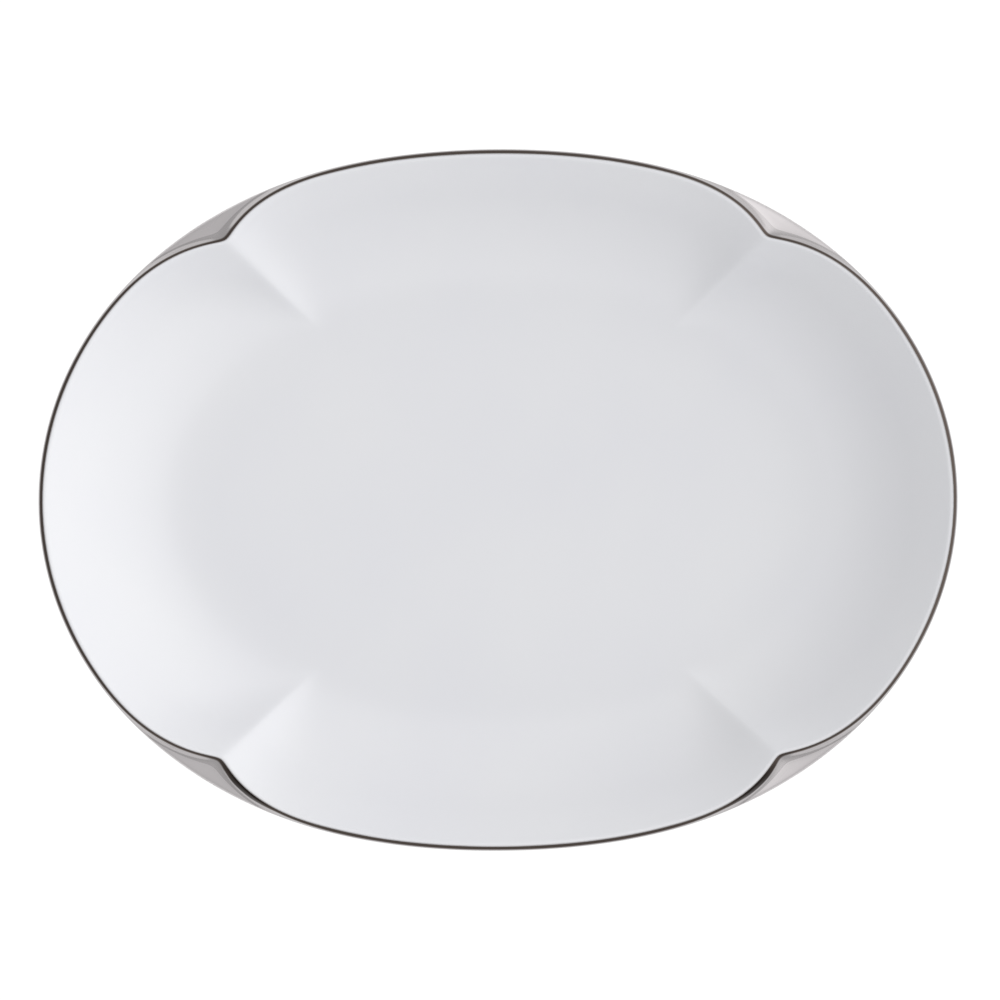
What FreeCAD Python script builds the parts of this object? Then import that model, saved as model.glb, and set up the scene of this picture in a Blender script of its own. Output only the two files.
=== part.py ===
import FreeCAD, Part
import math
import os

# An oval serving platter in white glazed porcelain with a metallic outside.
#
# Four notches pull the crest of the rim inward and divide the wall into four
# petals: two long ones and two end ones. A soft ridge runs from each notch
# down the inside of the wall to the flat well. Outside each notch the oval
# outline carries on, so a lens-shaped facet lies between crest and edge.
#
# The fired body is covered by thin real layers, each a solid of its own:
# clear glaze inside, a polished platinum band over the rim, satin platinum
# outside, and clear glaze inside the foot ring. The standing edge is bare.
#
# Millimetres. X is the long axis, Y the short one, Z up. The origin is the
# centre of the oval, at the level of the surface the platter stands on.

# Overall size
LENGTH = 380.0
WIDTH = 290.0
HEIGHT = 38.0
FULLNESS = 0.022           # how much fuller than an ellipse the oval is on its diagonals

# Wall, as seen in a section through the middle of a petal
WALL_THICKNESS = 4.5
WALL_SLOPE = 0.85          # rise over run of the straight upper part
WELL_INSET = 75.0          # from the outline in to the edge of the flat well
BEND_INSET = 18.0          # from the outline in to where the wall starts to bend
BEND_POWER = 1.8           # how the slope dies away towards the well; 1 is evenly

# Notches and ridges
FAR_NOTCH_ANGLE = math.radians(44.0)     # from the X axis, for the two notches at +Y
NEAR_NOTCH_ANGLE = math.radians(42.6)    # and for the two at -Y
NOTCH_DEPTH = 9.6          # how far the crest moves inward
NOTCH_DROP = 1.0           # how far the crest dips
NOTCH_REACH = 52.0         # how far the notch spreads along the rim, each way
NOTCH_CURL = 3.0           # how fast it fades along the rim
NOTCH_TIP_RADIUS = 2.0
SHOULDER_TIP_RADIUS = 30.0  # the shoulder below a notch passes it more softly than the crest
RIDGE_RADIUS = 155.5       # from the axis to the tip of a notch
RIDGE_END_INSET = 61.0     # the ridge fades out here, just above the well
RIDGE_FADE = 2.5
RIDGE_LOW_REACH = 0.25     # reach at the ridge's lower end, as a share of the rim's

# Lens facet outside a notch, as (inset, depth below the rim) of its corners
CREST_OUTER_CORNER = (10.6, 1.6)
BAND_LOWER_CORNER = (7.5, 3.7)
SHOULDER_UPPER_CORNER = (0.0, 5.9)
SHOULDER_LOWER_CORNER = (0.0, 8.4)
SHOULDER_UNDERCUT = (3.5, 11.0)
WALL_CORNER_STEP = 3.5     # inset from the lip to the next corner, in the middle of a petal

# Foot ring and base
FOOT_FILLET_INSET = 66.5   # the underside starts to turn down into the foot
FOOT_OUTER_INSET = 70.0
FOOT_WIDTH = 4.6
FOOT_LEAN = 0.8            # each side of the foot leans in by this much
FOOT_EDGE = 0.7            # width and height of the rounding at the standing edge
BASE_HEIGHT = 3.2          # height of the base inside the foot ring
BASE_FILLET_WIDTH = 3.0

# Layers
GLAZE_THICKNESS = 0.4
PLATINUM_THICKNESS = 0.3   # a glaze with the metal film fired onto it
GLAZE_TAPER_RINGS = 4      # the glaze thins to the platinum's thickness at its edge
GLAZE_OVER_LIP = 2.1       # how far the inner glaze runs on over the rounded lip
BAND_WIDTH = 5.5           # polished band, measured over the surface

# Density of the control nets
STEPS_PER_HALF_PETAL = 26
GRADING = 1.4              # crowds the net towards the notches
WALL_RINGS = 22
LIP_RINGS = 4
LIP_CORNERS = 6
BAND_RINGS = 14
OUTSIDE_RINGS = 36
OUTSIDE_GRADING = 1.5      # crowds the rings towards the lip
SPAN_STEPS = 8             # points on each corner of a smoothed line
CUBIC = 3                  # degree of the curved surfaces
FLAT_RING = 3.0            # the curved surfaces run this far onto the flats

SLOPE_ANGLE = math.atan(WALL_SLOPE)
LIP_RADIUS = WALL_THICKNESS / 2
LIP_INSET = LIP_RADIUS * (1 + math.sin(SLOPE_ANGLE))
LIP_DROP = LIP_RADIUS * (1 - math.cos(SLOPE_ANGLE))
SHOULDER_SLOPE = (SHOULDER_UPPER_CORNER[1] - BAND_LOWER_CORNER[1]) / BAND_LOWER_CORNER[0]
BEND_WIDTH = WELL_INSET - BEND_INSET
BEND_RISE = WALL_SLOPE * BEND_WIDTH / (BEND_POWER + 1)
FLOOR = HEIGHT - LIP_DROP - WALL_SLOPE * (BEND_INSET - LIP_INSET) - BEND_RISE
UNDERSIDE = FLOOR - WALL_THICKNESS
FOOT_INNER_INSET = FOOT_OUTER_INSET + FOOT_WIDTH + 2 * FOOT_LEAN
QUARTER = math.pi / 2
NOTCHES = (
    FAR_NOTCH_ANGLE,
    math.pi - FAR_NOTCH_ANGLE,
    math.pi + NEAR_NOTCH_ANGLE,
    2 * math.pi - NEAR_NOTCH_ANGLE,
)


def oval_radius(angle, inset):
    """Distance from the axis to the outline moved inward by inset."""
    a = LENGTH / 2 - inset
    b = WIDTH / 2 - inset
    ellipse = a * b / math.hypot(b * math.cos(angle), a * math.sin(angle))
    return ellipse * (1 + FULLNESS * math.sin(2 * angle) ** 2)


def notch_share(angle, reach, tip_radius):
    """1 at the tip of the quadrant's notch, falling to 0 at reach along the rim."""
    notch = NOTCHES[int(angle / QUARTER)]
    along = RIDGE_RADIUS * (angle - notch)
    rounded = math.hypot(along, tip_radius) - tip_radius
    return max(0.0, 1 - rounded / reach) ** NOTCH_CURL


def net_angles():
    """Angles right round the oval, closer together near the notches."""
    steps = STEPS_PER_HALF_PETAL
    angles = []
    for quadrant, notch in enumerate(NOTCHES):
        before = quadrant * QUARTER - notch
        after = (quadrant + 1) * QUARTER - notch
        angles += [notch + before * (k / steps) ** GRADING for k in range(steps, 0, -1)]
        angles += [notch + after * (k / steps) ** GRADING for k in range(steps)]
    return angles


def smooth_line(corners):
    """Points of the quadratic spline that a polygon of corners controls."""
    points = [corners[0]]
    for k in range(1, len(corners) - 1):
        middle = corners[k]
        start = corners[0] if k == 1 else midpoint(corners[k - 1], middle)
        last = k == len(corners) - 2
        end = corners[-1] if last else midpoint(middle, corners[k + 1])
        for step in range(1, SPAN_STEPS + 1):
            t = step / SPAN_STEPS
            points.append(tuple(
                (1 - t) ** 2 * start[i] + 2 * t * (1 - t) * middle[i] + t * t * end[i]
                for i in range(2)
            ))
    return points


def midpoint(first, second):
    return ((first[0] + second[0]) / 2, (first[1] + second[1]) / 2)


def split_line(line, lengths):
    """Points at the given distances along a line."""
    points = []
    travelled = 0.0
    index = 0
    for length in lengths:
        step = math.dist(line[index], line[index + 1])
        while travelled + step < length and index < len(line) - 2:
            travelled += step
            index += 1
            step = math.dist(line[index], line[index + 1])
        start, end = line[index], line[index + 1]
        t = (length - travelled) / step
        points.append((start[0] + t * (end[0] - start[0]), start[1] + t * (end[1] - start[1])))
    return points


def line_length(line):
    return sum(math.dist(a, b) for a, b in zip(line, line[1:]))


def wall_height(inset):
    """Height of the finished inner surface in the middle of a petal."""
    run = max(0.0, WELL_INSET - inset)
    if run < BEND_WIDTH:
        return FLOOR + BEND_RISE * (run / BEND_WIDTH) ** (BEND_POWER + 1)
    return FLOOR + BEND_RISE + WALL_SLOPE * (run - BEND_WIDTH)


def inside_section(angle):
    """Finished inner surface at one angle, from just inside the well up to the lip."""
    points = [(oval_radius(angle, WELL_INSET + FLAT_RING), FLOOR)]
    ridge_run = RIDGE_END_INSET - LIP_INSET
    for k in range(WALL_RINGS + 1):
        inset = WELL_INSET - (WELL_INSET - LIP_INSET) * k / WALL_RINGS
        rise = max(0.0, (RIDGE_END_INSET - inset) / ridge_run)
        reach = NOTCH_REACH * (RIDGE_LOW_REACH + (1 - RIDGE_LOW_REACH) * rise)
        share = notch_share(angle, reach, NOTCH_TIP_RADIUS)
        depth = NOTCH_DEPTH * (1 - (1 - rise) ** RIDGE_FADE)
        radius = oval_radius(angle, inset) - depth * share
        points.append((radius, wall_height(inset) - NOTCH_DROP * share * rise * rise))
    return points


def lip_corners():
    """Corners round the lip in the middle of a petal, as (inset, depth)."""
    step = math.pi / LIP_CORNERS
    corner_radius = LIP_RADIUS / math.cos(step / 2)
    corners = []
    for k in range(LIP_CORNERS):
        turn = math.pi / 2 - SLOPE_ANGLE + (k + 0.5) * step
        inset = LIP_RADIUS + corner_radius * math.cos(turn)
        corners.append((inset, LIP_RADIUS - corner_radius * math.sin(turn)))
    return corners


def outside_line(angle):
    """Finished surface at one angle, from the lip's inner side out, over and down."""
    start = (LIP_INSET, LIP_DROP)
    lip = lip_corners()
    wall_start = (2 * LIP_RADIUS - LIP_INSET, 2 * LIP_RADIUS - LIP_DROP)
    wall_corner = (wall_start[0] + WALL_CORNER_STEP, wall_start[1] + WALL_CORNER_STEP * WALL_SLOPE)
    bend_depth = HEIGHT - UNDERSIDE
    bend = (wall_start[0] + (bend_depth - wall_start[1]) / WALL_SLOPE, bend_depth)
    end = (FOOT_FILLET_INSET, bend_depth)
    petal = [start] + lip + [wall_corner, bend, end]
    crest = [(inset + NOTCH_DEPTH, depth + NOTCH_DROP) for inset, depth in [start] + lip[:2]]
    facet = [CREST_OUTER_CORNER, BAND_LOWER_CORNER, SHOULDER_UPPER_CORNER]
    notch = crest + facet + [SHOULDER_LOWER_CORNER, SHOULDER_UNDERCUT, bend, end]
    crest_share = notch_share(angle, NOTCH_REACH, NOTCH_TIP_RADIUS)
    shoulder_share = notch_share(angle, NOTCH_REACH, SHOULDER_TIP_RADIUS)
    band_last = notch.index(BAND_LOWER_CORNER)
    corners = []
    for place, (at_petal, at_notch) in enumerate(zip(petal, notch)):
        share = crest_share if place <= band_last else shoulder_share
        radius = oval_radius(angle, at_petal[0]) - share * (at_notch[0] - at_petal[0])
        depth_share = crest_share if place < band_last else shoulder_share
        depth = (1 - depth_share) * at_petal[1] + depth_share * at_notch[1]
        if place == band_last:
            # the band's lower edge moves inward along the shoulder, which stays smooth
            depth += SHOULDER_SLOPE * (at_notch[0] - at_petal[0]) * (shoulder_share - crest_share)
        corners.append((radius, HEIGHT - depth))
    return smooth_line(corners)


def ring_of_insets(angle, pairs):
    """A line at one angle from (inset, height) corners that are the same all round."""
    return smooth_line([(oval_radius(angle, inset), height) for inset, height in pairs])


def even_lengths(start, end, count):
    return [start + (end - start) * k / count for k in range(count + 1)]


def graded_lengths(start, end, count):
    return [start + (end - start) * (k / count) ** OUTSIDE_GRADING for k in range(count + 1)]


def finished_sections(angle):
    """Every stretch of the finished surface at one angle, in order round the section."""
    over = outside_line(angle)
    band_end = GLAZE_OVER_LIP + BAND_WIDTH
    lip = split_line(over, even_lengths(0.0, GLAZE_OVER_LIP, LIP_RINGS))
    band = split_line(over, even_lengths(GLAZE_OVER_LIP, band_end, BAND_RINGS))
    outside = split_line(over, graded_lengths(band_end, line_length(over), OUTSIDE_RINGS))
    foot_outer = ring_of_insets(angle, [
        (FOOT_FILLET_INSET, UNDERSIDE),
        (FOOT_OUTER_INSET, UNDERSIDE),
        (FOOT_OUTER_INSET + FOOT_LEAN, FOOT_EDGE),
    ])
    foot_inner = ring_of_insets(angle, [
        (FOOT_INNER_INSET - FOOT_LEAN, FOOT_EDGE),
        (FOOT_INNER_INSET, BASE_HEIGHT),
        (FOOT_INNER_INSET + BASE_FILLET_WIDTH, BASE_HEIGHT),
    ])
    base_inset = FOOT_INNER_INSET + BASE_FILLET_WIDTH + FLAT_RING
    foot_inner.append((oval_radius(angle, base_inset), BASE_HEIGHT))
    return {
        "inside": inside_section(angle) + lip[1:],
        "band": band,
        "outside": outside,
        "foot_outer": foot_outer,
        "foot_inner": foot_inner,
    }


def sink(line, thicknesses):
    """The same line moved into the body by the given thickness at each point."""
    points = []
    last = len(line) - 1
    for k, (point, thickness) in enumerate(zip(line, thicknesses)):
        before = line[max(0, k - 1)]
        after = line[min(last, k + 1)]
        run = (after[0] - before[0], after[1] - before[1])
        size = math.hypot(*run)
        points.append((point[0] + run[1] / size * thickness, point[1] - run[0] / size * thickness))
    return points


def taper(count, thick_end):
    """Glaze thickness at each of count rings, thinning to the platinum's at the other end."""
    thick = [GLAZE_THICKNESS] * (count - GLAZE_TAPER_RINGS)
    step = (GLAZE_THICKNESS - PLATINUM_THICKNESS) / GLAZE_TAPER_RINGS
    thin = [GLAZE_THICKNESS - step * (k + 1) for k in range(GLAZE_TAPER_RINGS)]
    return thick + thin if thick_end == "first" else (thick + thin)[::-1]


def fired_sections(finished):
    """The same stretches on the surface of the fired body, under the layers."""
    platinum = {
        name: [PLATINUM_THICKNESS] * len(finished[name])
        for name in ("band", "outside", "foot_outer")
    }
    glaze = {
        "inside": taper(len(finished["inside"]), "first"),
        "foot_inner": taper(len(finished["foot_inner"]), "last"),
    }
    thicknesses = {**platinum, **glaze}
    order = ["inside", "band", "outside", "foot_outer"]
    fired = {}
    whole = []
    depths = []
    for name in order:
        whole += finished[name][len(whole) > 0:]
        depths += thicknesses[name][len(depths) > 0:]
    sunk = sink(whole, depths)
    start = 0
    for name in order:
        fired[name] = sunk[start:start + len(finished[name])]
        start += len(finished[name]) - 1
    fired["foot_inner"] = sink(finished["foot_inner"], thicknesses["foot_inner"])
    return fired


def bare_foot(fired, angle):
    """The unglazed rounding on each side of the standing edge."""
    outer_inset = FOOT_OUTER_INSET + FOOT_LEAN
    inner_inset = FOOT_INNER_INSET - FOOT_LEAN
    outer = smooth_line([
        fired["foot_outer"][-1],
        (oval_radius(angle, outer_inset + PLATINUM_THICKNESS), 0.0),
        (oval_radius(angle, outer_inset + FOOT_EDGE), 0.0),
    ])
    inner = smooth_line([
        (oval_radius(angle, inner_inset - FOOT_EDGE), 0.0),
        (oval_radius(angle, inner_inset - PLATINUM_THICKNESS), 0.0),
        fired["foot_inner"][0],
    ])
    return {"outer": outer, "inner": inner}


def net(sections):
    """Control net of a surface: one row of points for each angle."""
    rows = []
    for angle, section in zip(ANGLES, sections):
        rows.append([
            FreeCAD.Vector(radius * math.cos(angle), radius * math.sin(angle), height)
            for radius, height in section
        ])
    return rows


def surface(sections, degree=CUBIC):
    """Face through closed rings; the rings run round the oval, the other way is open."""
    rows = net(sections)
    count = len(rows[0])
    spans = count - degree
    knots = list(range(spans + 1))
    repeats = [degree + 1] + [1] * (spans - 1) + [degree + 1]
    shape = Part.BSplineSurface()
    round_knots = list(range(len(rows) + 1))
    shape.buildFromPolesMultsKnots(
        rows, [1] * len(round_knots), repeats, round_knots, knots, True, False, CUBIC, degree
    )
    return shape.toShape()


def ring_wire(sections, index):
    """The ring at one place of every section, as a closed curve."""
    points = [row[index] for row in net(sections)]
    knots = list(range(len(points) + 1))
    curve = Part.BSplineCurve()
    curve.buildFromPolesMultsKnots(points, [1] * len(knots), knots, True, CUBIC)
    return Part.Wire([curve.toShape()])


def flat(sections, index):
    """Flat face that fills a level ring."""
    return Part.Face(ring_wire(sections, index))


def flat_between(outer_sections, outer_index, inner_sections, inner_index):
    """Flat face between two level rings."""
    outer = ring_wire(outer_sections, outer_index)
    inner = ring_wire(inner_sections, inner_index)
    return Part.makeFace([outer, inner], "Part::FaceMakerBullseye")


def edge_between(first, first_index, second, second_index):
    """Narrow face that closes the side of a layer."""
    pairs = [[a[first_index], b[second_index]] for a, b in zip(first, second)]
    return surface(pairs, degree=1)


def closed_solid(faces):
    shell = Part.makeShell(faces)
    shell.sewShape()
    solid = Part.makeSolid(shell)
    if solid.Volume < 0:
        solid.reverse()
    return solid


def layer(finished, fired, closing_faces):
    """Thin layer between the finished surface and the fired body."""
    faces = [surface(section) for section in finished + fired]
    return closed_solid(faces + closing_faces)


ANGLES = net_angles()
FINISHED = [finished_sections(angle) for angle in ANGLES]
FIRED = [fired_sections(finished) for finished in FINISHED]
BARE = [bare_foot(fired, angle) for fired, angle in zip(FIRED, ANGLES)]


def stretch(sections, name):
    return [section[name] for section in sections]


def porcelain_body():
    """The fired clay: dish, rim and foot ring in one piece, with its standing edge bare."""
    names = ["inside", "band", "outside", "foot_outer", "foot_inner"]
    faces = [surface(stretch(FIRED, name)) for name in names]
    bare_outer = stretch(BARE, "outer")
    bare_inner = stretch(BARE, "inner")
    faces += [surface(bare_outer), surface(bare_inner)]
    faces += [flat(stretch(FIRED, "inside"), 0), flat(stretch(FIRED, "foot_inner"), -1)]
    faces.append(flat_between(bare_outer, -1, bare_inner, 0))
    return closed_solid(faces)


def inner_glaze():
    """Clear glaze over the well and the inside of the wall, up to the crest."""
    finished = stretch(FINISHED, "inside")
    fired = stretch(FIRED, "inside")
    closing = [flat(finished, 0), flat(fired, 0), edge_between(finished, -1, fired, -1)]
    return layer([finished], [fired], closing)


def rim_band():
    """Polished platinum over the crest and down the outer lip."""
    finished = stretch(FINISHED, "band")
    fired = stretch(FIRED, "band")
    closing = [edge_between(finished, k, fired, k) for k in (0, -1)]
    return layer([finished], [fired], closing)


def outer_platinum():
    """Satin platinum from the polished band down the outside to the foot's edge."""
    finished = [stretch(FINISHED, name) for name in ("outside", "foot_outer")]
    fired = [stretch(FIRED, name) for name in ("outside", "foot_outer")]
    closing = [
        edge_between(finished[0], 0, fired[0], 0),
        edge_between(finished[1], -1, fired[1], -1),
    ]
    return layer(finished, fired, closing)


def base_glaze():
    """Clear glaze on the base, inside the foot ring."""
    finished = stretch(FINISHED, "foot_inner")
    fired = stretch(FIRED, "foot_inner")
    closing = [flat(finished, -1), flat(fired, -1), edge_between(finished, 0, fired, 0)]
    return layer([finished], [fired], closing)


def main():
    os.makedirs("parts", exist_ok=True)
    parts = {
        "porcelain_body": porcelain_body(),
        "inner_glaze": inner_glaze(),
        "polished_rim_band": rim_band(),
        "outer_platinum": outer_platinum(),
        "base_glaze": base_glaze(),
    }
    for name, shape in parts.items():
        box = shape.BoundBox
        print(name, "valid", shape.isValid(), "closed", shape.isClosed(),
              "volume", round(shape.Volume), "box",
              [round(v, 2) for v in (box.XLength, box.YLength, box.ZMin, box.ZMax)])
        shape.exportStep("parts/" + name + ".step")


main()
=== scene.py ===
import math

import bpy
import numpy as np
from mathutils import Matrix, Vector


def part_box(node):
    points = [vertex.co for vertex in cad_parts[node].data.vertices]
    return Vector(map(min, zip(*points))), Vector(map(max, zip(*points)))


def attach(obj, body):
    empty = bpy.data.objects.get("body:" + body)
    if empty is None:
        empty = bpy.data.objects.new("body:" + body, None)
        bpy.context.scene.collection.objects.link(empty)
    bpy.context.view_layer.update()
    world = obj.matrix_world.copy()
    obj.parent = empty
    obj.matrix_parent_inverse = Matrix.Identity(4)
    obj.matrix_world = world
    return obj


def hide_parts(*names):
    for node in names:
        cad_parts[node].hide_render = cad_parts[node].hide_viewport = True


# An oval serving platter with four petal lobes, white glazed inside and metallic outside.
# The section is built from formulas in metres at every angle round the oval, and the
# rings of sections become quad meshes: one closed mesh for the fired body and one for
# each layer on it.

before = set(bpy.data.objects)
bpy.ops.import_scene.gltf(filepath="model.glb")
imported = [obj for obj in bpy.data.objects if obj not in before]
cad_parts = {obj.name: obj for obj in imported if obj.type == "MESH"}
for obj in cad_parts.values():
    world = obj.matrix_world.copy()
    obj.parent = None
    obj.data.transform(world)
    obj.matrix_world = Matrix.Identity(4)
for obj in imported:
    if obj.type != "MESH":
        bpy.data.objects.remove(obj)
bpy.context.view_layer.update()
rim_low, rim_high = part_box("polished_rim_band")

MM = 0.001

# Overall size, from the frame: the polished band reaches furthest out, and the inner glaze
# reaches highest, on the crest
LENGTH = 2 * min(rim_high.x, -rim_low.x)
WIDTH = 2 * min(rim_high.y, -rim_low.y)
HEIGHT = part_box("inner_glaze")[1].z
FULLNESS = 0.022           # how much fuller than an ellipse the oval is on its diagonals

# Wall, as seen in a section through the middle of a petal
WALL_THICKNESS = 4.5 * MM
WALL_SLOPE = 0.85
WELL_INSET = 75 * MM
BEND_INSET = 18 * MM
BEND_POWER = 1.8

# Notches and ridges
FAR_NOTCH_ANGLE = math.radians(44.0)
NEAR_NOTCH_ANGLE = math.radians(42.6)
NOTCH_DEPTH = 9.6 * MM
NOTCH_DROP = 1.0 * MM
NOTCH_REACH = 52 * MM
NOTCH_CURL = 3.0
NOTCH_TIP_RADIUS = 2.0 * MM
SHOULDER_TIP_RADIUS = 30.0 * MM
RIDGE_RADIUS = 155.5 * MM
RIDGE_END_INSET = 61 * MM
RIDGE_FADE = 2.5
RIDGE_LOW_REACH = 0.25

# Lens facet outside a notch, as (inset, depth below the rim) of its corners
CREST_OUTER_CORNER = (10.6 * MM, 1.6 * MM)
BAND_LOWER_CORNER = (7.5 * MM, 3.7 * MM)
SHOULDER_UPPER_CORNER = (0.0, 5.9 * MM)
SHOULDER_LOWER_CORNER = (0.0, 8.4 * MM)
SHOULDER_UNDERCUT = (3.5 * MM, 11.0 * MM)
WALL_CORNER_STEP = 3.5 * MM
CREST_CORNERS = 3          # corners that move as a whole with the crest

# Foot ring and base
FOOT_FILLET_INSET = 66.5 * MM
FOOT_OUTER_INSET = 70 * MM
FOOT_WIDTH = 4.6 * MM
FOOT_LEAN = 0.8 * MM
FOOT_EDGE = 0.7 * MM
BASE_HEIGHT = 3.2 * MM
BASE_FILLET_WIDTH = 3.0 * MM

# Layers
GLAZE_THICKNESS = 0.4 * MM
PLATINUM_THICKNESS = 0.3 * MM
GLAZE_OVER_LIP = 2.1 * MM
BAND_WIDTH = 5.5 * MM

# Dark line along the crest: painted shade and painted dark reflection, laid on where the
# polished band starts and where the glaze thins out. Its width and its fade are distances along the
# section.
CREST_LINE_WIDTH = 1.15 * MM
CREST_LINE_FADE = 1.0 * MM
GLAZE_EDGE_FADE = 0.9 * MM
CREST_WANDER = 0.3 * MM
# Painted dark reflection on the polished band by the crest
CREST_PAINTED_SHADE_COLOUR = (0.084, 0.068, 0.060, 1)
# Painted shade on the white glaze along its edge beside the crest
GLAZE_EDGE_PAINTED_SHADE_COLOUR = (0.16, 0.145, 0.14, 1)

# The line is widened with near-black painted dark reflection on the near petal's sides, beside its two
# notches
FLANK_MIDDLE = (104.5 * MM, -117 * MM, HEIGHT)
FLANK_REACH = 18 * MM
FLANK_FULL_REACH = 4 * MM
FLANK_SHADE_EXTRA_WIDTH = 1.9 * MM
# Near-black colour of that painted dark reflection
FLANK_PAINTED_SHADE_COLOUR = (0.022, 0.017, 0.015, 1)

# Density of the meshes
STEPS_PER_HALF_PETAL = 48
GRADING = 1.35
WALL_RINGS = 60
LIP_RINGS = 8
LIP_CORNERS = 6
BAND_RINGS = 24
OUTSIDE_RINGS = 76
OUTSIDE_GRADING = 1.5
SPAN_STEPS = 10
FLAT_SHARES = (0.92, 0.8, 0.66, 0.52, 0.38, 0.25, 0.13, 0.05)
SHARP_ANGLE = math.radians(50)

SLOPE_ANGLE = math.atan(WALL_SLOPE)
LIP_RADIUS = WALL_THICKNESS / 2
LIP_INSET = LIP_RADIUS * (1 + math.sin(SLOPE_ANGLE))
LIP_DROP = LIP_RADIUS * (1 - math.cos(SLOPE_ANGLE))
SHOULDER_SLOPE = (SHOULDER_UPPER_CORNER[1] - BAND_LOWER_CORNER[1]) / BAND_LOWER_CORNER[0]
BEND_WIDTH = WELL_INSET - BEND_INSET
BEND_RISE = WALL_SLOPE * BEND_WIDTH / (BEND_POWER + 1)
WELL_HEIGHT = HEIGHT - LIP_DROP - WALL_SLOPE * (BEND_INSET - LIP_INSET) - BEND_RISE
UNDERSIDE = WELL_HEIGHT - WALL_THICKNESS
FOOT_INNER_INSET = FOOT_OUTER_INSET + FOOT_WIDTH + 2 * FOOT_LEAN
QUARTER = math.pi / 2
NOTCHES = np.array((
    FAR_NOTCH_ANGLE,
    math.pi - FAR_NOTCH_ANGLE,
    math.pi + NEAR_NOTCH_ANGLE,
    2 * math.pi - NEAR_NOTCH_ANGLE,
))


# ---------------------------------------------------------------- shape formulas
# A section is an array [angle, place along the section, (radius, height)].

def net_angles():
    """Angles right round the oval, closer together near the notches."""
    steps = STEPS_PER_HALF_PETAL
    angles = []
    for quadrant, notch in enumerate(NOTCHES):
        before = quadrant * QUARTER - notch
        after = (quadrant + 1) * QUARTER - notch
        angles += [notch + before * (k / steps) ** GRADING for k in range(steps, 0, -1)]
        angles += [notch + after * (k / steps) ** GRADING for k in range(steps)]
    return np.array(angles)


ANGLES = net_angles()


def oval_radius(inset):
    """Distance from the axis to the outline moved inward by inset, at every angle."""
    a = LENGTH / 2 - inset
    b = WIDTH / 2 - inset
    ellipse = a * b / np.hypot(b * np.cos(ANGLES), a * np.sin(ANGLES))
    return ellipse * (1 + FULLNESS * np.sin(2 * ANGLES) ** 2)


def notch_share(reach, tip_radius):
    """1 at the tip of the quadrant's notch, falling to 0 at reach along the rim."""
    along = RIDGE_RADIUS * (ANGLES - NOTCHES[(ANGLES / QUARTER).astype(int)])
    rounded = np.hypot(along, tip_radius) - tip_radius
    return np.maximum(0.0, 1 - rounded / reach) ** NOTCH_CURL


def smooth_line(corners):
    """The quadratic spline that a polygon of corners controls, at every angle."""
    pieces = [corners[:, :1]]
    last = corners.shape[1] - 2
    for k in range(1, last + 1):
        middle = corners[:, k]
        start = corners[:, 0] if k == 1 else (corners[:, k - 1] + middle) / 2
        end = corners[:, -1] if k == last else (middle + corners[:, k + 1]) / 2
        for step in range(1, SPAN_STEPS + 1):
            t = step / SPAN_STEPS
            point = (1 - t) ** 2 * start + 2 * t * (1 - t) * middle + t * t * end
            pieces.append(point[:, None])
    return np.concatenate(pieces, axis=1)


def path_lengths(section):
    """Distance travelled along the section up to each of its places, at every angle."""
    steps = np.hypot(*np.moveaxis(np.diff(section, axis=1), 2, 0))
    return np.concatenate([np.zeros((len(section), 1)), np.cumsum(steps, axis=1)], axis=1)


def split_line(line, start, end, count, grading=1.0):
    """Points at distances from start to end along each line; end None means its own end."""
    shares = (np.arange(count + 1) / count) ** grading
    rows = []
    for points, lengths in zip(line, path_lengths(line)):
        finish = lengths[-1] if end is None else end
        wanted = start + (finish - start) * shares
        rows.append(np.stack([np.interp(wanted, lengths, points[:, i]) for i in (0, 1)], axis=1))
    return np.array(rows)


def wall_height(inset):
    """Height of the inner surface: a straight slope at the rim that bends into the well."""
    run = max(0.0, WELL_INSET - inset)
    if run < BEND_WIDTH:
        return WELL_HEIGHT + BEND_RISE * (run / BEND_WIDTH) ** (BEND_POWER + 1)
    return WELL_HEIGHT + BEND_RISE + WALL_SLOPE * (run - BEND_WIDTH)


def at_height(radius, height):
    """One place of a section: a radius and a height at every angle."""
    return np.stack([radius, np.broadcast_to(height, radius.shape)], axis=1)[:, None]


def inside_section():
    """Finished inner surface from the well's edge up to the lip, with the four ridges."""
    rings = []
    ridge_run = RIDGE_END_INSET - LIP_INSET
    for k in range(WALL_RINGS + 1):
        inset = WELL_INSET - (WELL_INSET - LIP_INSET) * k / WALL_RINGS
        rise = min(1.0, max(0.0, (RIDGE_END_INSET - inset) / ridge_run))
        reach = NOTCH_REACH * (RIDGE_LOW_REACH + (1 - RIDGE_LOW_REACH) * rise)
        share = notch_share(reach, NOTCH_TIP_RADIUS)
        depth = NOTCH_DEPTH * (1 - (1 - rise) ** RIDGE_FADE)
        radius = oval_radius(inset) - depth * share
        rings.append(at_height(radius, wall_height(inset) - NOTCH_DROP * share * rise * rise))
    return np.concatenate(rings, axis=1)


def lip_corners():
    """Corners round the lip in the middle of a petal, as (inset, depth below the rim)."""
    step = math.pi / LIP_CORNERS
    corner_radius = LIP_RADIUS / math.cos(step / 2)
    corners = []
    for k in range(LIP_CORNERS):
        turn = QUARTER - SLOPE_ANGLE + (k + 0.5) * step
        inset = LIP_RADIUS + corner_radius * math.cos(turn)
        corners.append((inset, LIP_RADIUS - corner_radius * math.sin(turn)))
    return corners


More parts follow.
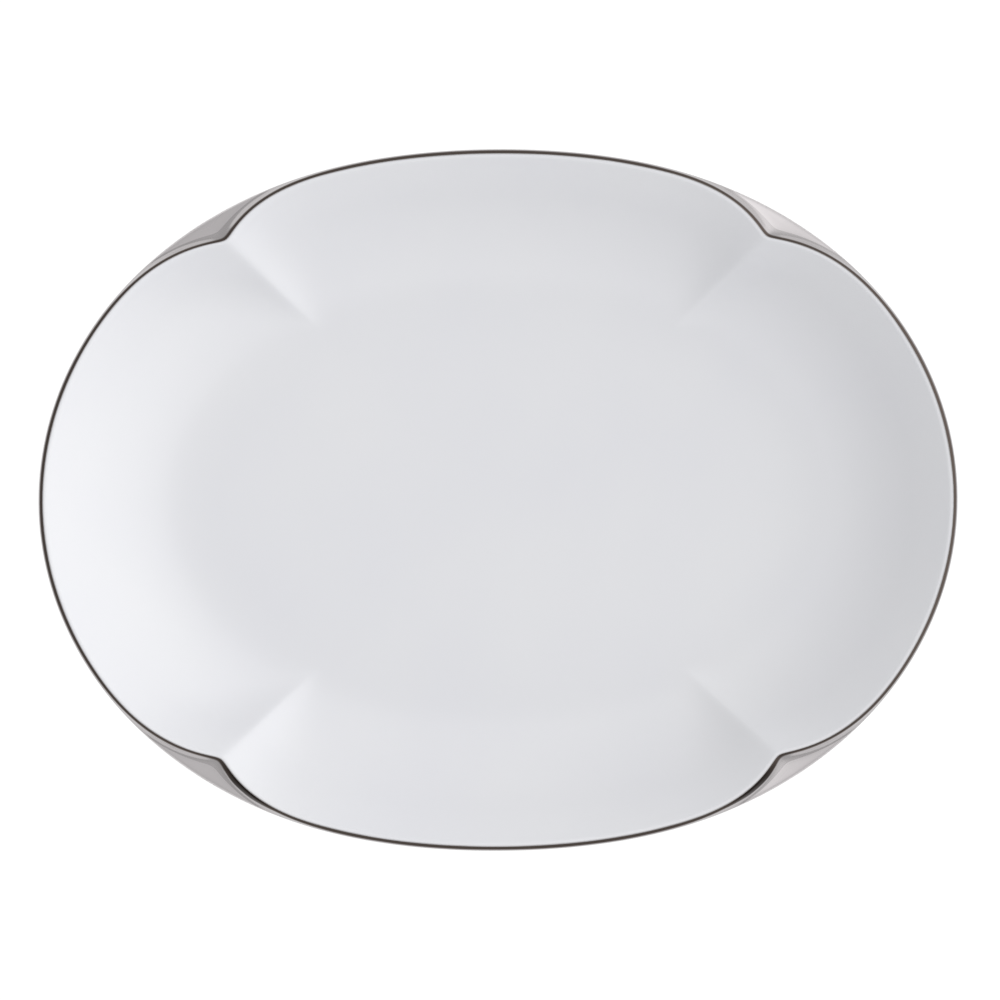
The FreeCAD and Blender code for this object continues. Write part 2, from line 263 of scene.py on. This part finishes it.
def outside_line():
    """Finished surface from the lip's inner side out, over and down to the foot."""
    wall_start = (2 * LIP_RADIUS - LIP_INSET, 2 * LIP_RADIUS - LIP_DROP)
    wall_corner = (wall_start[0] + WALL_CORNER_STEP, wall_start[1] + WALL_CORNER_STEP * WALL_SLOPE)
    bend_depth = HEIGHT - UNDERSIDE
    bend = (wall_start[0] + (bend_depth - wall_start[1]) / WALL_SLOPE, bend_depth)
    end = (FOOT_FILLET_INSET, bend_depth)
    petal = [(LIP_INSET, LIP_DROP)] + lip_corners() + [wall_corner, bend, end]
    crest = [(inset + NOTCH_DEPTH, depth + NOTCH_DROP) for inset, depth in petal[:CREST_CORNERS]]
    facet = [CREST_OUTER_CORNER, BAND_LOWER_CORNER, SHOULDER_UPPER_CORNER]
    notch = crest + facet + [SHOULDER_LOWER_CORNER, SHOULDER_UNDERCUT, bend, end]
    crest_share = notch_share(NOTCH_REACH, NOTCH_TIP_RADIUS)
    shoulder_share = notch_share(NOTCH_REACH, SHOULDER_TIP_RADIUS)
    band_last = notch.index(BAND_LOWER_CORNER)
    corners = []
    for place, (at_petal, at_notch) in enumerate(zip(petal, notch)):
        share = crest_share if place <= band_last else shoulder_share
        radius = oval_radius(at_petal[0]) - share * (at_notch[0] - at_petal[0])
        depth_share = crest_share if place < band_last else shoulder_share
        depth = (1 - depth_share) * at_petal[1] + depth_share * at_notch[1]
        if place == band_last:
            # This corner comes in with the crest, down the slope of the shoulder
            depth += SHOULDER_SLOPE * (at_notch[0] - at_petal[0]) * (shoulder_share - crest_share)
        corners.append(at_height(radius, HEIGHT - depth))
    return smooth_line(np.concatenate(corners, axis=1))


def plain_line(pairs):
    """A line from (inset, height) corners that are the same all round."""
    corners = [at_height(oval_radius(inset), height) for inset, height in pairs]
    return smooth_line(np.concatenate(corners, axis=1))


def join(*sections):
    """Sections end to end; each starts where the one before ends."""
    return np.concatenate([sections[0]] + [section[:, 1:] for section in sections[1:]], axis=1)


def finished_sections():
    """Finished surfaces of the inside, the polished band, the outside and the base."""
    over = outside_line()
    band_end = GLAZE_OVER_LIP + BAND_WIDTH
    foot_outer = plain_line([
        (FOOT_FILLET_INSET, UNDERSIDE),
        (FOOT_OUTER_INSET, UNDERSIDE),
        (FOOT_OUTER_INSET + FOOT_LEAN, FOOT_EDGE),
    ])
    inside = join(inside_section(), split_line(over, 0.0, GLAZE_OVER_LIP, LIP_RINGS))
    band = split_line(over, GLAZE_OVER_LIP, band_end, BAND_RINGS)
    outside = join(split_line(over, band_end, None, OUTSIDE_RINGS, OUTSIDE_GRADING), foot_outer)
    base = plain_line([
        (FOOT_INNER_INSET - FOOT_LEAN, FOOT_EDGE),
        (FOOT_INNER_INSET, BASE_HEIGHT),
        (FOOT_INNER_INSET + BASE_FILLET_WIDTH, BASE_HEIGHT),
    ])
    return inside, band, outside, base


def sink(section, thickness):
    """The same section moved into the body by the thickness, one value or one per place."""
    run = np.gradient(section, axis=1)
    run /= np.linalg.norm(run, axis=2, keepdims=True)
    into = np.stack([run[:, :, 1], -run[:, :, 0]], axis=2)
    return section + into * np.reshape(thickness, (-1, 1) if np.ndim(thickness) else ())


def glaze_taper(count, thin_count):
    """Thickness at each place of a glaze that thins over its last places."""
    share = np.clip((count - 1 - np.arange(count)) / thin_count, 0, 1)
    return PLATINUM_THICKNESS + (GLAZE_THICKNESS - PLATINUM_THICKNESS) * share


def fired_sections(inside, band, outside, base):
    """The fired body's surfaces under those four, each below its own layer."""
    skin = join(inside, band, outside)
    thickness = np.full(skin.shape[1], PLATINUM_THICKNESS)
    thickness[:inside.shape[1]] = glaze_taper(inside.shape[1], LIP_RINGS)
    fired = sink(skin, thickness)
    band_first = inside.shape[1] - 1
    band_last = band_first + band.shape[1] - 1
    fired_base = sink(base, glaze_taper(base.shape[1], SPAN_STEPS)[::-1])
    return fired[:, :band_first + 1], fired[:, band_first:band_last + 1], fired[:, band_last:], fired_base


def standing_edge(outside_end, base_start):
    """The bare edge that the platter stands on, from the outer layer to the base glaze."""
    outer_edge = FOOT_OUTER_INSET + FOOT_LEAN
    inner_edge = FOOT_INNER_INSET - FOOT_LEAN
    insets = (
        outer_edge + PLATINUM_THICKNESS,
        outer_edge + FOOT_EDGE,
        inner_edge - FOOT_EDGE,
        inner_edge - PLATINUM_THICKNESS,
    )
    corners = [at_height(oval_radius(inset), 0.0) for inset in insets]
    return smooth_line(np.concatenate([outside_end] + corners + [base_start], axis=1))


def to_the_axis(section, place):
    """Rings that carry a level end of a section on to near the axis."""
    ring = section[:, place]
    return np.stack([np.stack([ring[:, 0] * s, ring[:, 1]], axis=1) for s in FLAT_SHARES], axis=1)


def from_axis_to_axis(section):
    """A section whose two level ends both carry on across the flat."""
    start = to_the_axis(section, 0)[:, ::-1]
    return np.concatenate([start, section, to_the_axis(section, -1)], axis=1)


def layer_section(outer, inner):
    """Section of a layer: out along its finished surface and back along the fired one."""
    return np.concatenate([outer, inner[:, ::-1]], axis=1)


# ---------------------------------------------------------------- meshes

def runs_clockwise(line):
    """Whether one section goes round clockwise, seen with the radius to the right."""
    after = np.roll(line, -1, axis=0)
    return (line[:, 0] * after[:, 1] - after[:, 0] * line[:, 1]).sum() < 0


def ring_mesh(name, section, closed, edge):
    """Quad mesh through all the rings. A closed section joins its last ring to its
    first; an open one starts and ends near the axis and is capped there. The path
    is measured along the section from its edge place."""
    rounds, places = section.shape[:2]
    radius = section[:, :, 0]
    x = radius * np.cos(ANGLES)[:, None]
    y = radius * np.sin(ANGLES)[:, None]
    points = np.stack([x, y, section[:, :, 1]], axis=2).reshape(-1, 3)
    path = path_lengths(section)
    path = (path - path[:, edge:edge + 1]).reshape(-1)
    starts = [(i * places, (i + 1) % rounds * places) for i in range(rounds)]
    faces = []
    for here, after in starts:
        for j in range(places if closed else places - 1):
            k = (j + 1) % places
            faces.append((here + j, after + j, after + k, here + k))
    if not closed:
        points = np.concatenate([points, [[0, 0, section[0, 0, 1]], [0, 0, section[0, -1, 1]]]])
        path = np.concatenate([path, [0, 0]])
        first, last = rounds * places, rounds * places + 1
        for here, after in starts:
            faces.append((first, after, here))
            faces.append((last, here + places - 1, after + places - 1))
    mesh = bpy.data.meshes.new(name)
    mesh.from_pydata(points.tolist(), [], faces)
    mesh.validate()
    if runs_clockwise(section[0]):
        mesh.flip_normals()
    mesh.attributes.new("path", "FLOAT", "POINT").data.foreach_set("value", path.astype(np.float32))
    mesh.polygons.foreach_set("use_smooth", [True] * len(mesh.polygons))
    mesh.set_sharp_from_angle(angle=SHARP_ANGLE)
    mesh.update()
    piece = bpy.data.objects.new(name, mesh)
    bpy.context.scene.collection.objects.link(piece)
    return piece


def add_piece(name, section, closed, cad_node, material, edge=0):
    """One piece of the platter, in place of its CAD node."""
    piece = ring_mesh(name, section, closed, edge)
    piece.data.materials.append(material)
    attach(piece, "root")
    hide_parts(cad_node)


# ---------------------------------------------------------------- materials
# A noise scale is the number of the noise's cells in a metre. Tones and roughness are
# pairs, the two ends that a noise moves between.

NOISE_LOW = 0.3            # a noise seldom leaves the range between these two
NOISE_HIGH = 0.7

GLAZE_TONE_SCALE = 14
GLAZE_BREATH_SCALE = 60
GLAZE_WAVE_SCALE = 35
GLAZE_GRAIN_SCALE = 600
GLAZE_ROUGHNESS = (0.09, 0.15)
GLAZE_IOR = 1.5
GLAZE_COAT_WEIGHT = 0.35
GLAZE_COAT_ROUGHNESS = 0.06
GLAZE_GRAIN_STRENGTH = 0.02
GLAZE_GRAIN_HEIGHT = 0.2 * MM
WHITE_GLAZE_TONES = ((0.80, 0.805, 0.84, 1), (0.82, 0.825, 0.85, 1))
WHITE_GLAZE_WAVINESS = 0.05
BASE_GLAZE_TONES = ((0.78, 0.78, 0.80, 1), (0.82, 0.82, 0.83, 1))
BASE_GLAZE_WAVINESS = 0.10

CLAY_TONES = ((0.62, 0.57, 0.50, 1), (0.76, 0.72, 0.66, 1))
CLAY_ROUGHNESS = (0.75, 0.9)
CLAY_GRAIN_SCALE = 900
CLAY_GRAIN_STRENGTH = 0.35
CLAY_GRAIN_HEIGHT = 0.3 * MM

METAL_TONE_SCALE = 22
METAL_WAVE_SCALE = 40
METAL_WAVINESS = 0.15
STREAK_SCALE_ACROSS = 1800.0
STREAK_SCALE_AROUND = 9.0
STREAK_HEIGHT = 0.1 * MM
POLISHED_TONES = ((0.44, 0.42, 0.424, 1), (0.48, 0.46, 0.464, 1))
POLISHED_ROUGHNESS = (0.18, 0.24)
POLISHED_BRUSHING = 0.04
SATIN_TONES = ((0.56, 0.534, 0.54, 1), (0.61, 0.584, 0.59, 1))
SATIN_ROUGHNESS = (0.26, 0.34)
SATIN_BRUSHING = 0.10

WAVE_HEIGHT = 2.0 * MM
CREST_WANDER_SCALE = 45

# Sockets of a Mix node that are for colours; the others with their names are for numbers
MIX_FIRST = 6
MIX_SECOND = 7
MIX_RESULT = 2


def new_material(name):
    """A material with its node tree and its shader node."""
    material = bpy.data.materials.new(name)
    material.use_nodes = True
    tree = material.node_tree
    return material, tree, tree.nodes["Principled BSDF"]


def node(tree, kind, **settings):
    """A new node, with settings for its sockets and its own properties."""
    made = tree.nodes.new(kind)
    for key, value in settings.items():
        if key in made.inputs:
            made.inputs[key].default_value = value
        else:
            setattr(made, key, value)
    return made


def math_node(tree, operation, *values):
    """The result of an operation on values, each a float or a socket."""
    made = node(tree, "ShaderNodeMath", operation=operation)
    for socket, value in zip(made.inputs, values):
        if isinstance(value, float):
            socket.default_value = value
        else:
            tree.links.new(value, socket)
    return made.outputs["Value"]


def smooth_step(tree, value, start, end):
    """0 at start and before it, 1 at end and after it, and smooth between them."""
    made = node(tree, "ShaderNodeMapRange", interpolation_type="SMOOTHSTEP")
    made.inputs["From Min"].default_value = start
    made.inputs["From Max"].default_value = end
    tree.links.new(value, made.inputs["Value"])
    return made.outputs["Result"]


def coordinates(tree, scale):
    """Object coordinates in metres times a scale."""
    source = node(tree, "ShaderNodeTexCoord")
    mapping = node(tree, "ShaderNodeMapping")
    mapping.inputs["Scale"].default_value = (scale, scale, scale)
    tree.links.new(source.outputs["Object"], mapping.inputs["Vector"])
    return mapping.outputs["Vector"]


def position(tree):
    """Object coordinates in metres, one output for each axis."""
    source = node(tree, "ShaderNodeTexCoord")
    parts = node(tree, "ShaderNodeSeparateXYZ")
    tree.links.new(source.outputs["Object"], parts.inputs["Vector"])
    return parts.outputs


def noise(tree, vector, detail, roughness=0.5):
    """Soft cloudy noise, one cell to each unit of the vector."""
    made = node(tree, "ShaderNodeTexNoise", Scale=1.0, Detail=detail, Roughness=roughness)
    tree.links.new(vector, made.inputs["Vector"])
    return made.outputs["Fac"]


def ramp(tree, factor, low, high):
    """Colour that runs from low to high with a noise."""
    made = node(tree, "ShaderNodeValToRGB")
    made.color_ramp.elements[0].position = NOISE_LOW
    made.color_ramp.elements[1].position = NOISE_HIGH
    made.color_ramp.elements[0].color = low
    made.color_ramp.elements[1].color = high
    tree.links.new(factor, made.inputs["Fac"])
    return made.outputs["Color"]


def span(tree, factor, low, high):
    """Value that runs from low to high with a noise."""
    made = node(tree, "ShaderNodeMapRange")
    made.inputs["From Min"].default_value = NOISE_LOW
    made.inputs["From Max"].default_value = NOISE_HIGH
    made.inputs["To Min"].default_value = low
    made.inputs["To Max"].default_value = high
    tree.links.new(factor, made.inputs["Value"])
    return made.outputs["Result"]


def bump(tree, height, strength, distance, normal=None):
    """Normal of a surface raised by a noise, on top of another normal if there is one."""
    made = node(tree, "ShaderNodeBump", Strength=strength, Distance=distance)
    tree.links.new(height, made.inputs["Height"])
    if normal is not None:
        tree.links.new(normal, made.inputs["Normal"])
    return made.outputs["Normal"]


def along_section(tree, across, around):
    """Coordinates that change fast along the section and slowly round the oval."""
    path = node(tree, "ShaderNodeAttribute", attribute_name="path")
    place = position(tree)
    joined = node(tree, "ShaderNodeCombineXYZ")
    for axis, output, scale in (("X", place["X"], around),
                                ("Y", place["Y"], around),
                                ("Z", path.outputs["Fac"], across)):
        tree.links.new(math_node(tree, "MULTIPLY", output, scale), joined.inputs[axis])
    return joined.outputs["Vector"]


def glaze_material(name, tones, waviness):
    """Cool white porcelain glaze: faint tone drift, faint waves left by the firing."""
    material, tree, shader = new_material(name)
    drift = noise(tree, coordinates(tree, GLAZE_TONE_SCALE), detail=2.0)
    tree.links.new(ramp(tree, drift, *tones), shader.inputs["Base Color"])
    breath = noise(tree, coordinates(tree, GLAZE_BREATH_SCALE), detail=2.0)
    tree.links.new(span(tree, breath, *GLAZE_ROUGHNESS), shader.inputs["Roughness"])
    shader.inputs["IOR"].default_value = GLAZE_IOR
    shader.inputs["Coat Weight"].default_value = GLAZE_COAT_WEIGHT
    shader.inputs["Coat Roughness"].default_value = GLAZE_COAT_ROUGHNESS
    waves = noise(tree, coordinates(tree, GLAZE_WAVE_SCALE), detail=1.0)
    grain = noise(tree, coordinates(tree, GLAZE_GRAIN_SCALE), detail=2.0)
    normal = bump(tree, waves, waviness, WAVE_HEIGHT)
    normal = bump(tree, grain, GLAZE_GRAIN_STRENGTH, GLAZE_GRAIN_HEIGHT, normal)
    tree.links.new(normal, shader.inputs["Normal"])
    return material


def bare_clay_material():
    """Unglazed fired clay on the standing edge: warm, matt, finely grained."""
    material, tree, shader = new_material("bare_fired_clay")
    speckle = noise(tree, coordinates(tree, CLAY_GRAIN_SCALE), detail=4.0)
    tree.links.new(ramp(tree, speckle, *CLAY_TONES), shader.inputs["Base Color"])
    tree.links.new(span(tree, speckle, *CLAY_ROUGHNESS), shader.inputs["Roughness"])
    normal = bump(tree, speckle, CLAY_GRAIN_STRENGTH, CLAY_GRAIN_HEIGHT)
    tree.links.new(normal, shader.inputs["Normal"])
    return material


def platinum_material(name, tones, roughness, brushing):
    """Fired metal film with faint marks that follow the rim round the oval."""
    material, tree, shader = new_material(name)
    streak_place = along_section(tree, STREAK_SCALE_ACROSS, STREAK_SCALE_AROUND)
    streaks = noise(tree, streak_place, detail=4.0, roughness=0.6)
    clouds = noise(tree, coordinates(tree, METAL_TONE_SCALE), detail=3.0)
    tree.links.new(ramp(tree, clouds, *tones), shader.inputs["Base Color"])
    tree.links.new(span(tree, streaks, *roughness), shader.inputs["Roughness"])
    shader.inputs["Metallic"].default_value = 1.0
    waves = noise(tree, coordinates(tree, METAL_WAVE_SCALE), detail=1.0)
    normal = bump(tree, waves, METAL_WAVINESS, WAVE_HEIGHT)
    normal = bump(tree, streaks, brushing, STREAK_HEIGHT, normal)
    tree.links.new(normal, shader.inputs["Normal"])
    return material


def painted_flank_shade_share(tree):
    """Mask of the painted dark reflection: 1 beside the two near notches, on the near petal's side; 0
    further off.
    """
    place = position(tree)
    mirrored = node(tree, "ShaderNodeCombineXYZ", Z=FLANK_MIDDLE[2])
    tree.links.new(math_node(tree, "ABSOLUTE", place["X"]), mirrored.inputs["X"])
    tree.links.new(place["Y"], mirrored.inputs["Y"])
    distance = node(tree, "ShaderNodeVectorMath", operation="DISTANCE")
    tree.links.new(mirrored.outputs["Vector"], distance.inputs[0])
    distance.inputs[1].default_value = FLANK_MIDDLE
    return smooth_step(tree, distance.outputs["Value"], FLANK_REACH, FLANK_FULL_REACH)


def mixed(tree, factor, first, second):
    """Colour between first and second, each a colour or a socket."""
    mix = node(tree, "ShaderNodeMix", data_type="RGBA")
    tree.links.new(factor, mix.inputs["Factor"])
    for place, colour in ((MIX_FIRST, first), (MIX_SECOND, second)):
        if isinstance(colour, tuple):
            mix.inputs[place].default_value = colour
        else:
            tree.links.new(colour, mix.inputs[place])
    return mix.outputs[MIX_RESULT]


def paint_crest_shade(material, colour, start, fade, with_flank_shade):
    """Mix in the colour next to the crest as painted shade and painted dark reflection; it runs
    out between start and start + fade. With the flank shade, the painted line is broader and darker
    there."""
    tree = material.node_tree
    shader = tree.nodes["Principled BSDF"]
    plain = shader.inputs["Base Color"].links[0].from_socket
    path = node(tree, "ShaderNodeAttribute", attribute_name="path")
    wander = noise(tree, coordinates(tree, CREST_WANDER_SCALE), detail=2.0)
    away = math_node(tree, "ABSOLUTE", path.outputs["Fac"])
    away = math_node(tree, "ADD", away, math_node(tree, "MULTIPLY", wander, CREST_WANDER))
    # Near-black painted dark reflection, wider beside the two near notches
    if with_flank_shade:
        broad = painted_flank_shade_share(tree)
        colour = mixed(tree, broad, colour, FLANK_PAINTED_SHADE_COLOUR)
        away = math_node(tree, "SUBTRACT", away, math_node(tree, "MULTIPLY", broad, FLANK_SHADE_EXTRA_WIDTH))
    share = smooth_step(tree, away, start, start + fade)
    tree.links.new(mixed(tree, share, colour, plain), shader.inputs["Base Color"])


# ---------------------------------------------------------------- the platter

def build_platter():
    """The fired body and the four layers on it."""
    inside, band, outside, base = finished_sections()
    fired_inside, fired_band, fired_outside, fired_base = fired_sections(inside, band, outside, base)
    foot = standing_edge(fired_outside[:, -1:], fired_base[:, :1])
    body = from_axis_to_axis(join(fired_inside, fired_band, fired_outside, foot, fired_base))
    inner_layer = from_axis_to_axis(layer_section(inside, fired_inside))
    base_layer = from_axis_to_axis(layer_section(base[:, ::-1], fired_base[:, ::-1]))
    glaze_edge = len(FLAT_SHARES) + inside.shape[1] - 1

    white = glaze_material("white_porcelain_glaze", WHITE_GLAZE_TONES, WHITE_GLAZE_WAVINESS)
    under = glaze_material("base_porcelain_glaze", BASE_GLAZE_TONES, BASE_GLAZE_WAVINESS)
    # Painted shade on the white glaze along its edge at the crest
    paint_crest_shade(white, GLAZE_EDGE_PAINTED_SHADE_COLOUR, 0.0, GLAZE_EDGE_FADE, with_flank_shade=False)
    polished = platinum_material(
        "polished_platinum", POLISHED_TONES, POLISHED_ROUGHNESS, POLISHED_BRUSHING)
    # Painted dark reflection along the crest, near black beside the two near notches
    paint_crest_shade(polished, CREST_PAINTED_SHADE_COLOUR, CREST_LINE_WIDTH, CREST_LINE_FADE, with_flank_shade=True)
    satin = platinum_material("satin_platinum", SATIN_TONES, SATIN_ROUGHNESS, SATIN_BRUSHING)
    clay = bare_clay_material()

    add_piece("body_fired_clay", body, False, "porcelain_body", clay)
    add_piece("glaze_inside", inner_layer, False, "inner_glaze", white, glaze_edge)
    add_piece("rim_band_polished", layer_section(band, fired_band), True,
              "polished_rim_band", polished)
    add_piece("outside_satin", layer_section(outside, fired_outside), True,
              "outer_platinum", satin)
    add_piece("glaze_base", base_layer, False, "base_glaze", under)


# ---------------------------------------------------------------- stage, light, camera

WHITE = (1, 1, 1, 1)
STAGE_REACH = 3.0
STAGE_COLOUR = (0.08, 0.08, 0.08, 1)
STAGE_ROUGHNESS = 0.9
STAGE_GLOW = 0.97

# Soft patches of light in the surroundings: azimuth, elevation, breadth, brightness
LIGHT_PATCHES = (
    (5, 29, 60, 0.90),      # the main light, on the right
    (65, 38, 52, 0.25),     # a little more from the far side
    (270, 55, 55, 0.16),    # and from above the near side
)
ROOM_LIGHT = 0.665
ZENITH = 90
OVERHEAD_BREADTH = 20       # the camera darkens the zenith this far round, in degrees
OVERHEAD_LOSS = 0.5

CAMERA_DISTANCE = 2.4       # above the crest
CAMERA_OFFSET = 0.8 * MM
CAMERA_TURN = math.radians(-0.4)
FRAME_WIDTH = 0.4128        # what the view takes in at the level of the crest
SENSOR_WIDTH = 36.0         # in millimetres
VIEW_LIMIT = 20.0


def add_floor():
    """Plain pale floor that glows evenly, so that it stays near white up to the platter."""
    mesh = bpy.data.meshes.new("floor")
    reach = STAGE_REACH
    corners = [(-reach, -reach, 0), (reach, -reach, 0), (reach, reach, 0), (-reach, reach, 0)]
    mesh.from_pydata(corners, [], [range(len(corners))])
    floor = bpy.data.objects.new("floor", mesh)
    bpy.context.scene.collection.objects.link(floor)
    material, _, shader = new_material("pale_floor")
    shader.inputs["Base Color"].default_value = STAGE_COLOUR
    shader.inputs["Roughness"].default_value = STAGE_ROUGHNESS
    shader.inputs["Emission Color"].default_value = WHITE
    shader.inputs["Emission Strength"].default_value = STAGE_GLOW
    mesh.materials.append(material)


def direction(azimuth, elevation):
    """Unit vector; azimuth in degrees from +X towards +Y, elevation from the horizon."""
    turn, lift = math.radians(azimuth), math.radians(elevation)
    return (math.cos(lift) * math.cos(turn), math.cos(lift) * math.sin(turn), math.sin(lift))


def soft_spot(tree, view, azimuth, elevation, breadth):
    """1 in the middle of a round patch of the surroundings, 0 at breadth degrees from it."""
    dot = node(tree, "ShaderNodeVectorMath", operation="DOT_PRODUCT")
    tree.links.new(view, dot.inputs[0])
    dot.inputs[1].default_value = direction(azimuth, elevation)
    return smooth_step(tree, dot.outputs["Value"], math.cos(math.radians(breadth)), 1.0)


def add_world():
    """Even studio light with soft patches, and darker overhead where the camera hangs."""
    world = bpy.data.worlds.new("studio")
    world.use_nodes = True
    tree = world.node_tree
    view = node(tree, "ShaderNodeTexCoord").outputs["Generated"]
    level = ROOM_LIGHT
    for azimuth, elevation, breadth, brightness in LIGHT_PATCHES:
        spot = soft_spot(tree, view, azimuth, elevation, breadth)
        level = math_node(tree, "ADD", math_node(tree, "MULTIPLY", spot, brightness), level)
    overhead = soft_spot(tree, view, 0, ZENITH, OVERHEAD_BREADTH)
    loss = math_node(tree, "MULTIPLY", overhead, OVERHEAD_LOSS)
    level = math_node(tree, "MULTIPLY", level, math_node(tree, "SUBTRACT", 1.0, loss))
    background = tree.nodes["Background"]
    background.inputs["Color"].default_value = WHITE
    tree.links.new(level, background.inputs["Strength"])
    bpy.context.scene.world = world


def add_camera():
    """Straight above, long lens, turned by a fraction of a degree."""
    camera = bpy.data.cameras.new("camera")
    camera.sensor_width = SENSOR_WIDTH
    camera.lens = SENSOR_WIDTH * CAMERA_DISTANCE / FRAME_WIDTH
    camera.clip_end = VIEW_LIMIT
    holder = bpy.data.objects.new("camera", camera)
    holder.location = (CAMERA_OFFSET, 0.0, HEIGHT + CAMERA_DISTANCE)
    holder.rotation_euler = (0.0, 0.0, CAMERA_TURN)
    bpy.context.scene.collection.objects.link(holder)
    bpy.context.scene.camera = holder


build_platter()
add_floor()
add_world()
add_camera()
bpy.context.scene.view_settings.view_transform = "Standard"
